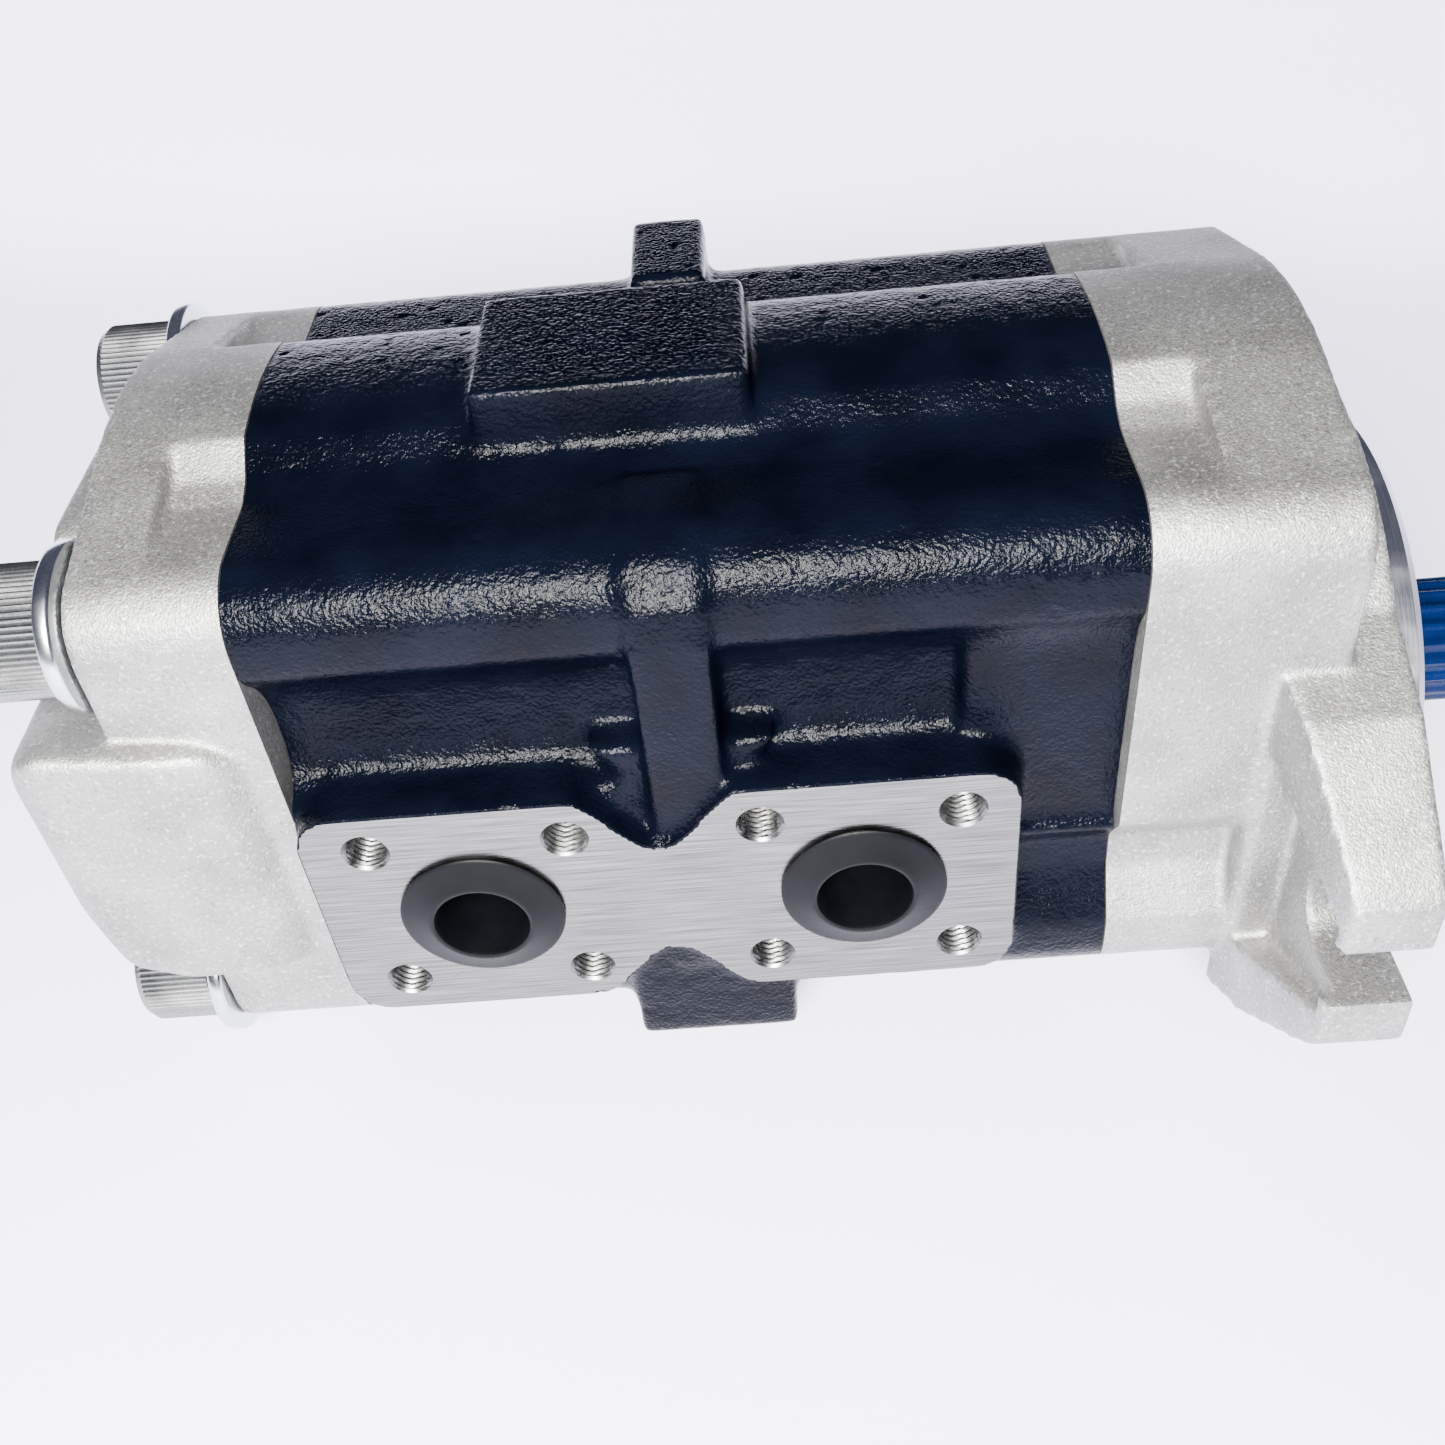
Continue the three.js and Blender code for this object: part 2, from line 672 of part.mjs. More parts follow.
function makeRetainingRing() {
  const from = Math.PI / 2 + ringOpening;
  const to = 2.5 * Math.PI - ringOpening;
  const outer = arc(0, 0, ringOuter, from, to, 24);
  const inner = arc(0, 0, ringOuter - ringWidth, to, from, 24);
  return alongX(polygon([...outer, ...inner]), ringX, ringX + ringThickness);
}

// ---- fasteners, plugs and protector ----------------------------------------------------------------

function makeCapScrew(y, z) {
  const seat = rearCoverX - gap - washerThickness - gap;
  const end = seat - headLength;
  const tip = bodyLength + boltGrip;
  const tipChamfer = 1.5;
  const blank = turnedX([
    [end, 0], [end, headRadius - headChamfer], [end + headChamfer, headRadius], [seat, headRadius],
    [seat, boltRadius], [tip - tipChamfer, boltRadius], [tip, boltRadius - tipChamfer], [tip, 0],
  ], y, z, holeSteps);
  const socket = new THREE.CylinderGeometry(hexSocketRadius, hexSocketRadius, headLength, 6);
  socket.rotateZ(Math.PI / 2);
  socket.translate(end, y, z);
  return cut(blank, solid(socket));
}

const makeWasher = (y, z) => tube(
  rearCoverX - gap - washerThickness, rearCoverX - gap, boltRadius + 2 * gap, washerRadius, y, z, 24);

// A press-in dust plug: a low conical flange round an open cup. The profile starts at the cup's floor.
function makePlug(x, faceY, outward, boreRadius, brimRadius) {
  const wall = boreRadius - gap;
  const profile = [
    [-plugDepth, 0], [-plugDepth, wall - 1], [-plugFloor, wall], [gap, wall], [gap, brimRadius],
    [plugBrim, brimRadius], [plugRim, wall - 0.3], [plugRim - 0.2, wall - 1.2],
    [-plugFloor, wall - 1.6], [-plugFloor, 0],
  ].map(([out, radius]) => [faceY + outward * out, radius]);
  return turnedY(outward > 0 ? profile : profile.reverse(), x, portZ, 24);
}

function makeShaftCap() {
  const valley = capOuter - capRibDepth;
  const outline = toothedOutline(capRibs, [
    [valley, -0.5], [valley, -0.3], [capOuter, -0.14], [capOuter, 0.14], [valley, 0.3],
  ]);
  return cut(alongX(outline, capStartX, capEndX), rod(capStartX - past, capEndX - capEndWall, capInner, 0, 0));
}

// ---- assembly --------------------------------------------------------------------------------------

const finishes = {
  paint: { color: 0x0e1424, roughness: 0.28, metalness: 0.1 },
  castAluminium: { color: 0xb4b2ad, roughness: 0.55, metalness: 0.75 },
  steel: { color: 0x9a9ca0, roughness: 0.3, metalness: 0.95 },
  zinc: { color: 0xc9ccd0, roughness: 0.25, metalness: 0.95 },
  bronze: { color: 0xa9783f, roughness: 0.4, metalness: 0.9 },
  blackPlastic: { color: 0x23272d, roughness: 0.45, metalness: 0 },
  bluePlastic: { color: 0x0a3f9c, roughness: 0.35, metalness: 0 },
  rubber: { color: 0x1b1b1c, roughness: 0.8, metalness: 0 },
};

const pump = new THREE.Group();
pump.position.set(-(bulgeX + capEndX) / 2, 0, flangeRadius);

function add(name, manifold, finish) {
  const mesh = new THREE.Mesh(geometryOf(manifold), new THREE.MeshStandardMaterial(finishes[finish]));
  mesh.name = name;
  pump.add(mesh);
}

add('pump_body', makeBody(), 'paint');
add('front_cover', makeFrontCover(), 'castAluminium');
add('rear_cover', makeRearCover(), 'castAluminium');

add('front_drive_gear', makeFrontDriveGear(), 'steel');
add('rear_drive_gear', makeRearDriveGear(), 'steel');
add('shaft_coupling', makeCoupling(), 'steel');

for (const [section, chamber] of Object.entries(chambers)) {
  add(`${section}_driven_gear`, gearWithJournals(chamber, false, centreDistance, chamber.drivenEnds), 'steel');

  // A block's outer face is at the joint face or at the web, with the seal's groove in it.
  const low = chamber.start + (section === 'rear' ? blockEndPlay : gap);
  const high = chamber.end - (section === 'rear' ? gap : blockEndPlay);
  const blocks = { back: [low, chamber.gearFrom - gap, low], fore: [chamber.gearTo + gap, high, high] };
  for (const [place, [fromX, toX, grooveX]] of Object.entries(blocks)) {
    add(`${section}_bearing_block_${place}`, makeBearingBlock(fromX, toX, grooveX), 'castAluminium');
    const sealFromX = place === 'back' ? fromX : toX - blockSeal.section;
    add(`${section}_block_seal_${place}`, makeBlockSeal(sealFromX), 'rubber');
    for (const [shaft, z] of [['drive', 0], ['driven', centreDistance]]) {
      const bush = tube(fromX + gap, toX - gap, bushInner, bushOuter, 0, z);
      add(`${section}_${shaft}_bush_${place}`, bush, 'bronze');
    }
  }
}

add('rear_cover_seal', makeCoverSeal(-gap - coverSeal.section), 'rubber');
add('front_cover_seal', makeCoverSeal(bodyLength + gap), 'rubber');
add('shaft_seal', makeLipSeal(), 'rubber');
add('seal_retaining_ring', makeRetainingRing(), 'steel');

for (const [side, sign] of [['near', -1], ['far', 1]]) {
  for (const [level, z] of [['upper', midZ + boltZ], ['lower', midZ - boltZ]]) {
    add(`cap_screw_${level}_${side}`, makeCapScrew(sign * boltY, z), 'zinc');
    add(`washer_${level}_${side}`, makeWasher(sign * boltY, z), 'zinc');
  }
  for (const [end, x] of [['rear', 0], ['front', bodyLength]]) {
    add(`dowel_${end}_${side}`,
      rod(x - dowelHalfLength, x + dowelHalfLength, dowelRadius, sign * dowelY, midZ, holeSteps), 'steel');
  }
}

add('outlet_plug_rear', makePlug(rearPortX, portFaceY, -1, portBoreRadius, outletPlugRadius), 'blackPlastic');
add('outlet_plug_front', makePlug(frontPortX, portFaceY, -1, portBoreRadius, outletPlugRadius), 'blackPlastic');
add('inlet_plug', makePlug(inletX, inletFaceY, 1, inletBoreRadius, inletPlugRadius), 'blackPlastic');
add('shaft_cap', makeShaftCap(), 'bluePlastic');

export default pump;
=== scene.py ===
"""Looks of a tandem hydraulic gear pump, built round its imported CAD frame.

Shapes are drawn in millimetres on the pump's own axes: X runs along the drive shaft from the rear
joint face, Y and Z are 0 on the shaft, and the outlets face -Y. TO_FRAME takes them to the frame.
"""

import json
import math

import bmesh
import bpy
from mathutils import Matrix, Vector, noise


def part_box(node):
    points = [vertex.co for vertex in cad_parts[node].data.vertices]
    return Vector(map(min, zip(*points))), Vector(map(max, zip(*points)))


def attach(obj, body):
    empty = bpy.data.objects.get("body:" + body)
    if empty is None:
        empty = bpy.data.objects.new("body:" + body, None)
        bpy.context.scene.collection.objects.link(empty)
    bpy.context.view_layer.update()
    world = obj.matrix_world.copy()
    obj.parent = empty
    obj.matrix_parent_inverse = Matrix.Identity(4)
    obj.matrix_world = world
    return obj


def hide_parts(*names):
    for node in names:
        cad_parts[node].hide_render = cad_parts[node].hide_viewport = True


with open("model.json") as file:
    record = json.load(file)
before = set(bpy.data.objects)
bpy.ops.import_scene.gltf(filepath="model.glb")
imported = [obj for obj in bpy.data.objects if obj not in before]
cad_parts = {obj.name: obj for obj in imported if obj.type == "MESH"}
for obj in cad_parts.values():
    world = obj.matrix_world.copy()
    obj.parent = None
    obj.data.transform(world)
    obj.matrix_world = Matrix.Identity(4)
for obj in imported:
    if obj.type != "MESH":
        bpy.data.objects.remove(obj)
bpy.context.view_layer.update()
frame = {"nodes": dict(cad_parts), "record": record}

# ---- driving sizes, mm -----------------------------------------------------------------------------

MM = 0.001
HOUSING = "housing"
JOINT_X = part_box("pump_body")[0].x
SHAFT_Z = sum(corner.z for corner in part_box("shaft_cap")) / 2
TO_FRAME = Matrix.Translation((JOINT_X, 0, SHAFT_Z)) @ Matrix.Scale(MM, 4)

FAR = 200                    # a cutting tool's reach past the whole pump
GAP = 0.3
BODY_END = 148.7
CENTRES = 38.1               # drive gear to driven gear
MID_Z = CENTRES / 2
BOLT_Y = 42.5
BOLT_Z = 44.2
BOLT_RADIUS = 7.25
BOLT_HOLE = 7.6
CORNER = 12
FLAT_TOP = BOLT_Z + CORNER
CROWN_TOP = FLAT_TOP + 8.8
CROWN_HALF = 17
CROWN_BOW = 1.8
POCKET = 13.5
CHAMBER_RADIUS = 22.2
DOWEL_Y = 45
DOWEL_HOLE = 4.15
DOWEL_DEPTH = 7.3

WAIST_X = (-9, 120)
END_WAIST_X = (119, BODY_END + 9)
NOTCH_START = 128.5
NOTCH_END = 172
RIB_X = (64.5, 78)
TOP_PAD = ((40, -21.5, 60), (88, 13.5, 89.3))
BOTTOM_BLOCK = ((55, -56.5, -43.5), (87.5, -30, -10))
FAR_RIB = ((65.5, 30, 10), (80.5, 57.5, 82))

PORTS_X = (30.5, 101.5)
PORT_Z = 2.5
PORT_FACE = -59.5
PORT_BORE = 10.2
PORT_BRIM = 15.3
PORT_SQUARE = 36
INLET_X = 66
INLET_FACE = 61
INLET_BORE = 16
INLET_BRIM = 20.5
INLET_SQUARE = 46

COVER_FRONT = 184.5
FLANGE_BACK = 184
FLANGE_FACE = 194.5
FLANGE_RADIUS = 65
PILOT_RADIUS = 50.8
PILOT_END = FLANGE_FACE + 10.2
EAR_END = 87
EAR_BACK = 181
EAR_ROOT = 50                # how far out from the shaft the ear's wedge starts
SLOT_Y = 73
SLOT_RADIUS = 7.15
REAR_FACE = -26.5
REAR_PAD = -35.5
HEAD_RADIUS = 11.8
WASHER_RADIUS = 15
WASHER_THICK = 3

CAP_START = 206.3
CAP_END = 239
CAP_RADIUS = 13
CAP_INNER = 11.3

THREAD_PITCH = 1.25
THREAD_DEPTH = 0.62
THREAD_RADIUS = 4.3
TAPPED_DEPTH = 12


# ---- mesh tools ------------------------------------------------------------------------------------

PLACE = {
    "x": lambda along, a, b: (along, a, b),
    "y": lambda along, a, b: (a, along, b),
    "z": lambda along, a, b: (a, b, along),
}


def mesh_object(name, bm):
    """An object in the frame from a mesh drawn in millimetres."""
    bmesh.ops.recalc_face_normals(bm, faces=bm.faces)
    bm.transform(TO_FRAME)
    mesh = bpy.data.meshes.new(name)
    bm.to_mesh(mesh)
    bm.free()
    made = bpy.data.objects.new(name, mesh)
    bpy.context.scene.collection.objects.link(made)
    return made


def prism(outline, axis, start, end, name="tool"):
    """A closed outline drawn across an axis, extruded along it."""
    bm = bmesh.new()
    place = PLACE[axis]
    low = [bm.verts.new(place(start, a, b)) for a, b in outline]
    high = [bm.verts.new(place(end, a, b)) for a, b in outline]
    bm.faces.new(low)
    bm.faces.new(high[::-1])
    for i in range(len(outline)):
        bm.faces.new((low[i], low[i - 1], high[i - 1], high[i]))
    return mesh_object(name, bm)


def block(low, high):
    outline = [(low[1], low[2]), (high[1], low[2]), (high[1], high[2]), (low[1], high[2])]
    return prism(outline, "x", low[0], high[0])


def turned(profile, axis, centre, steps=64, name="tool", shape=None, loop=False):
    """A surface turned about an axis from (along, radius) pairs. Radius 0 is a pole, and loop joins
    the last pair to the first. shape(along, radius, angle) gives a radius that varies round it."""
    bm = bmesh.new()
    place = PLACE[axis]
    rows = []
    for along, radius in profile:
        if radius == 0:
            rows.append([bm.verts.new(place(along, *centre))] * steps)
            continue
        row = []
        for i in range(steps):
            angle = 2 * math.pi * i / steps
            r = shape(along, radius, angle) if shape else radius
            a = centre[0] + r * math.cos(angle)
            b = centre[1] + r * math.sin(angle)
            row.append(bm.verts.new(place(along, a, b)))
        rows.append(row)
    following = rows[1:] + rows[:1] if loop else rows[1:]
    for row, after in zip(rows, following):
        for i in range(steps):
            j = (i + 1) % steps
            corners = dict.fromkeys((row[i], row[j], after[j], after[i]))
            bm.faces.new(tuple(corners))
    return mesh_object(name, bm)


def rod(start, end, radius, axis, centre, steps=48):
    return turned([(start, 0), (start, radius), (end, radius), (end, 0)], axis, centre, steps)


def bake(obj):
    """Gives an object the mesh that its modifiers make."""
    graph = bpy.context.evaluated_depsgraph_get()
    made = bpy.data.meshes.new_from_object(obj.evaluated_get(graph))
    obj.modifiers.clear()
    old = obj.data
    obj.data = made
    bpy.data.meshes.remove(old)


def add_boolean(obj, operation, tool):
    modifier = obj.modifiers.new(operation, "BOOLEAN")
    modifier.operation = operation
    modifier.solver = "MANIFOLD"
    modifier.object = tool


def combine(obj, operation, tools):
    """Joins the tools into one, which is quicker on a dense mesh, and uses that on the object."""
    first, *others = tools
    for tool in others:
        add_boolean(first, "UNION", tool)
    if others:
        bake(first)
    add_boolean(obj, operation, first)
    bake(obj)
    for tool in tools:
        bpy.data.objects.remove(tool)
    return obj


def cast(obj, voxel, passes):
    """Rounds every edge and corner as a casting's are, the more passes the larger the radius."""
    voxels = obj.modifiers.new("voxels", "REMESH")
    voxels.mode = "VOXEL"
    voxels.voxel_size = voxel * MM
    rounding = obj.modifiers.new("rounding", "SMOOTH")
    rounding.factor = 0.5
    rounding.iterations = passes
    bake(obj)
    return obj


def keep_inside(obj, node):
    """Holds a skin within its CAD node's box."""
    low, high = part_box(node)
    for vertex in obj.data.vertices:
        vertex.co = Vector(min(max(c, a), b) for c, a, b in zip(vertex.co, low, high))


def weather(obj, height, size, pit_depth=0.0):
    """Pushes a cast skin in and out a little, in waves of about the given size, with a few pits. The
    normals are read first, because each one read after a move is worked out again for the whole mesh."""
    pit_start, pit_spread = 0.52, 0.2
    normals = [vertex.normal.copy() for vertex in obj.data.vertices]
    for vertex, normal in zip(obj.data.vertices, normals):
        at = vertex.co / (size * MM)
        push = height * noise.noise(at)
        pit = noise.noise(at * 1.7 + Vector((9, 4, 7)))
        if pit_depth and pit > pit_start:
            push -= pit_depth * (pit - pit_start) / pit_spread
        vertex.co += normal * push * MM


def smooth_by_angle(obj, degrees=35):
    obj.data.shade_smooth()
    obj.data.set_sharp_from_angle(angle=math.radians(degrees))


def coat(obj, skin, cut=None, is_cut=None):
    """Gives a skin its material, and another to the faces that a tool has cut, told by their centre
    in pump axes and their normal."""
    mesh = obj.data
    mesh.materials.clear()
    mesh.materials.append(skin)
    if cut:
        mesh.materials.append(cut)
    back = TO_FRAME.inverted()
    for face in mesh.polygons:
        face.material_index = int(bool(cut) and is_cut(back @ face.center, face.normal))


def finished(obj, body, slot, *nodes):
    """Hangs a piece on what it rides on and hides the CAD nodes it stands for. The slot is not used."""
    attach(obj, body)
    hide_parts(*nodes)


# ---- outlines, as (Y, Z) or (X, Z) -----------------------------------------------------------------


def arc(y, z, radius, start, end, steps=12):
    """Points along an arc, with its ends in degrees."""
    points = []
    for i in range(steps + 1):
        angle = math.radians(start + (end - start) * i / steps)
        points.append((y + radius * math.cos(angle), z + radius * math.sin(angle)))
    return points


def mirrored(quarter):
    """A quarter section mirrored about the middle of the casing both ways."""
    upper = quarter + [(-y, z) for y, z in reversed(quarter)]
    whole = upper + [(y, -z) for y, z in reversed(upper)]
    kept = [p for i, p in enumerate(whole) if (Vector(p) - Vector(whole[i - 1])).length > 0.001]
    return [(y, z + MID_Z) for y, z in kept]


def crown():
    steps = 8
    across = [CROWN_HALF * (1 - i / steps) for i in range(steps + 1)]
    return [(y, CROWN_TOP - CROWN_BOW * (y / CROWN_HALF) ** 2) for y in across]


def casing_section():
    shoulder = [(28, FLAT_TOP), (23, FLAT_TOP + 1.8)]
    return mirrored(arc(BOLT_Y, BOLT_Z, CORNER, 0, 90) + shoulder + crown())


def cover_section():
    slope = math.degrees(math.atan2(7, BOLT_Y - CROWN_HALF))
    return mirrored(arc(BOLT_Y, BOLT_Z, CORNER, 0, 90 - slope) + crown())


def pair_section(radius, steps=32):
    waist = math.degrees(math.asin(MID_Z / radius))
    return (arc(0, CENTRES, radius, -waist, 180 + waist, steps)
            + arc(0, 0, radius, 180 - waist, 360 + waist, steps)[1:-1])


def loop_section(radius):
    return arc(0, CENTRES, radius, 0, 180, 24) + arc(0, 0, radius, 180, 360, 24)


def rounded_box(left, bottom, right, top, corner):
    return (arc(right - corner, top - corner, corner, 0, 90, 6)
            + arc(left + corner, top - corner, corner, 90, 180, 6)
            + arc(left + corner, bottom + corner, corner, 180, 270, 6)
            + arc(right - corner, bottom + corner, corner, 270, 360, 6))


def outlet_section(grow):
    """The two square lands and their neck, in (X, Z), grown all round."""
    half = 25.5 + grow
    neck = 12.2 + grow
    left, right, waist, reach = 2 - grow, 128.3 + grow, 65, 16

    def sweep(start_x, end_x, start_half, end_half):
        steps = 12
        share = [i / steps for i in range(steps + 1)]
        ease = [t * t * (3 - 2 * t) for t in share]
        return [(start_x + (end_x - start_x) * t, start_half + (end_half - start_half) * e)
                for t, e in zip(share, ease)]

    top = (arc(right - 8, half - 8, 8, 0, 90, 8)
           + sweep(waist + reach, waist, half, neck)
           + sweep(waist, waist - reach, neck, half)[1:]
           + arc(left + 8, half - 8, 8, 90, 180, 8))
    bottom = [(x, -z) for x, z in reversed(top)]
    return [(x, z + PORT_Z) for x, z in top + bottom]


def flange_section():
    join = math.degrees(math.atan2(46.8, 45.5))
    disc = arc(0, 0, FLANGE_RADIUS, join, 180 - join, 40)
    ear = [(-63.5, 38.5), (-80, 25), (-EAR_END + 2, 20.5), (-EAR_END, 17.5)]
    upper = disc + ear
    lower = [(-y, -z) for y, z in upper]
    return (upper + [(y, -z) for y, z in reversed(ear)]
            + lower + [(-y, z) for y, z in reversed(ear)])


WAIST = [(-70, 58), (-54.5, 58), (-52.5, 55.6), (-49.6, 52.6), (-47.2, 48), (-46.4, 43), (-46.6, 36),
         (-48, 31.5), (-50.5, 28.7), (-54, 27.6), (-70, 27.6)]
END_WAIST = [(-70, 58), (-54.5, 58), (-53, 55.8), (-51.4, 52.8), (-50.6, 48), (-50.4, 6), (-70, 6)]
NOTCH = [(-70, 7.5), (-54, 7.5), (-48.8, 0), (-49.5, -8), (-54.4, -19), (-70, -19)]


def bolt_places():
    return [(y, MID_Z + z) for y in (-BOLT_Y, BOLT_Y) for z in (BOLT_Z, -BOLT_Z)]


def bolt_holes(start, end, radius=BOLT_HOLE):
    return [rod(start, end, radius, "x", place) for place in bolt_places()]


def dowel_holes(start, end):
    return [rod(start, end, DOWEL_HOLE, "x", (y, MID_Z), 24) for y in (-DOWEL_Y, DOWEL_Y)]


# ---- materials -------------------------------------------------------------------------------------


def add_node(tree, kind, **settings):
    node = tree.nodes.new("ShaderNode" + kind)
    for key, value in settings.items():
        setattr(node, key, value)
    return node


def pattern(tree, size, detail=3.0, stretch=(1, 1, 1), distortion=0.0):
    """Noise on the object's own coordinates, with features of about the given size in mm."""
    coordinates = add_node(tree, "TexCoord")
    mapping = add_node(tree, "Mapping")
    mapping.inputs["Scale"].default_value = stretch
    texture = add_node(tree, "TexNoise")
    texture.inputs["Scale"].default_value = 1 / (size * MM)
    texture.inputs["Detail"].default_value = detail
    texture.inputs["Distortion"].default_value = distortion
    tree.links.new(coordinates.outputs["Object"], mapping.inputs["Vector"])
    tree.links.new(mapping.outputs["Vector"], texture.inputs["Vector"])
    return texture.outputs["Fac"]


def spread(tree, value, start, end, low, high):
    """Maps start..end of a value to low..high, held at the ends."""
    made = add_node(tree, "MapRange")
    tree.links.new(value, made.inputs["Value"])
    for socket, number in zip(("From Min", "From Max", "To Min", "To Max"), (start, end, low, high)):
        made.inputs[socket].default_value = number
    return made.outputs["Result"]


def tint(tree, factor, first, second):
    made = add_node(tree, "Mix", data_type="RGBA")
    tree.links.new(factor, made.inputs["Factor"])
    for socket, colour in ((made.inputs[6], first), (made.inputs[7], second)):
        if isinstance(colour, tuple):
            socket.default_value = (*colour, 1)
        else:
            tree.links.new(colour, socket)
    return made.outputs[2]


def relief(tree, height, depth, under=None):
    """Bump of a depth in mm, over another bump if one is given."""
    made = add_node(tree, "Bump")
    made.inputs["Distance"].default_value = depth * MM
    tree.links.new(height, made.inputs["Height"])
    if under:
        tree.links.new(under, made.inputs["Normal"])
    return made.outputs["Normal"]


def new_material(name, metallic, **fixed):
    made = bpy.data.materials.new(name)
    made.use_nodes = True
    shader = made.node_tree.nodes["Principled BSDF"]
    shader.inputs["Metallic"].default_value = metallic
    for socket, value in fixed.items():
        shader.inputs[socket.replace("_", " ")].default_value = value
    return made, made.node_tree, shader


def wire(tree, shader, colour, roughness, normal):
    tree.links.new(colour, shader.inputs["Base Color"])
    tree.links.new(roughness, shader.inputs["Roughness"])
    tree.links.new(normal, shader.inputs["Normal"])


def make_paint():
    made, tree, shader = new_material("body_paint", 0.0, Specular_IOR_Level=0.045)
    broad = pattern(tree, 14, 2)
    peel = pattern(tree, 2.4, 2, distortion=0.4)
    sand = pattern(tree, 0.75, 3)
    patches = spread(tree, broad, 0.35, 0.65, 0, 1)
    colour = tint(tree, patches, (0.0005, 0.0008, 0.0020), (0.0009, 0.0015, 0.0038))
    roughness = spread(tree, sand, 0.3, 0.7, 0.07, 0.19)
    normal = relief(tree, sand, 0.25, relief(tree, peel, 0.20))
    wire(tree, shader, colour, roughness, normal)
    return made


def make_casting():
    made, tree, shader = new_material("cast_aluminium", 0.9)
    cloud = pattern(tree, 18, 3)
    blast = pattern(tree, 0.45, 3)
    fleck = pattern(tree, 0.8, 2, distortion=0.6)
    patches = spread(tree, cloud, 0.3, 0.7, 0, 1)
    base = tint(tree, patches, (0.19, 0.188, 0.181), (0.31, 0.308, 0.298))
    colour = tint(tree, spread(tree, fleck, 0.58, 0.70, 0, 0.55), base, (0.62, 0.62, 0.61))
    colour = tint(tree, spread(tree, fleck, 0.42, 0.30, 0, 0.6), colour, (0.12, 0.115, 0.11))
    roughness = spread(tree, blast, 0.3, 0.7, 0.42, 0.62)
    normal = relief(tree, blast, 0.17, relief(tree, fleck, 0.07))
    wire(tree, shader, colour, roughness, normal)
    return made


def make_cut_metal(name, dark, light, smooth, rough, stretch, depth):
    """Bare machined metal: tool marks are noise drawn out along the cut."""
    made, tree, shader = new_material(name, 1.0)
    marks = pattern(tree, 0.35, 4, stretch)
    cloud = pattern(tree, 9, 3)
    speck = pattern(tree, 0.7, 2, distortion=0.5)
    base = tint(tree, spread(tree, marks, 0.3, 0.7, 0, 1), dark, light)
    colour = tint(tree, spread(tree, speck, 0.70, 0.78, 0, 0.7), base, tuple(c * 0.35 for c in dark))
    roughness = spread(tree, cloud, 0.3, 0.7, smooth, rough)
    wire(tree, shader, colour, roughness, relief(tree, marks, depth))
    return made


def make_plastic(name, dark, light, rough, **fixed):
    made, tree, shader = new_material(name, 0.0, **fixed)
    cloud = pattern(tree, 5, 3)
    grain = pattern(tree, 0.3, 2)
    colour = tint(tree, spread(tree, cloud, 0.3, 0.7, 0, 1), dark, light)
    roughness = spread(tree, grain, 0.3, 0.7, rough - 0.08, rough + 0.08)
    wire(tree, shader, colour, roughness, relief(tree, grain, 0.02))
    return made


ALONG_X = (0.02, 1, 1)
ROUND_X = (1, 0.03, 0.03)
EVEN = (1, 1, 1)

MATERIALS = {
    "body_paint": make_paint(),
    "cast_aluminium": make_casting(),
    "ground_steel": make_cut_metal("ground_steel", (0.42, 0.43, 0.45), (0.58, 0.59, 0.61),
                                   0.2, 0.34, ROUND_X, 0.01),
    "bearing_alloy": make_cut_metal("bearing_alloy", (0.6, 0.6, 0.6), (0.74, 0.74, 0.73),
                                    0.25, 0.4, ROUND_X, 0.01),
    "bush_bronze": make_cut_metal("bush_bronze", (0.45, 0.28, 0.13), (0.62, 0.42, 0.22),
                                  0.25, 0.4, ROUND_X, 0.01),
    "seal_rubber": make_plastic("seal_rubber", (0.008, 0.008, 0.008), (0.016, 0.016, 0.016), 0.6),
    "zinc_steel": make_cut_metal("zinc_steel", (0.13, 0.134, 0.134), (0.23, 0.235, 0.235),
                                 0.26, 0.42, EVEN, 0.015),
    "bright_steel": make_cut_metal("bright_steel", (0.42, 0.45, 0.47), (0.58, 0.60, 0.62),
                                   0.14, 0.26, EVEN, 0.01),
    "black_plastic": make_plastic("black_plastic", (0.0007, 0.0009, 0.0013), (0.0012, 0.0015, 0.0020),
                                  0.42, Specular_IOR_Level=0.07),
    "blue_plastic": make_plastic("blue_plastic", (0.0, 0.003, 0.020), (0.0, 0.005, 0.034),
                                 0.28, Specular_IOR_Level=0.15),
}
MILLED = make_cut_metal("milled_iron", (0.06, 0.0595, 0.059), (0.19, 0.188, 0.184),
                        0.22, 0.40, ALONG_X, 0.05)
TURNED = make_cut_metal("turned_aluminium", (0.50, 0.51, 0.525), (0.66, 0.67, 0.69),
                        0.16, 0.30, ROUND_X, 0.012)


def carry_over_materials():
    """Every CAD node gets its slot's finish, shown or not."""
    for row in frame["record"]["subparts"]:
        mesh = frame["nodes"][row["node"]].data
        mesh.materials.clear()
        mesh.materials.append(MATERIALS[row["material_slot"]])


# ---- body ------------------------------------------------------------------------------------------


def thread_tool(x, z, start, end):
    """A screw thread's outline as a cutting tool: a helix in the radius, from one Y to another."""

    def helix(along, radius, angle):
        phase = (along / THREAD_PITCH - angle / (2 * math.pi)) % 1
        return radius - THREAD_DEPTH * abs(2 * phase - 1)

    steps = int(abs(end - start) / (THREAD_PITCH / 5))
    turns = [(start + (end - start) * i / steps, THREAD_RADIUS) for i in range(steps + 1)]
    return turned([(start, 0)] + turns + [(end, 0)], "y", (x, z), 32, shape=helix)


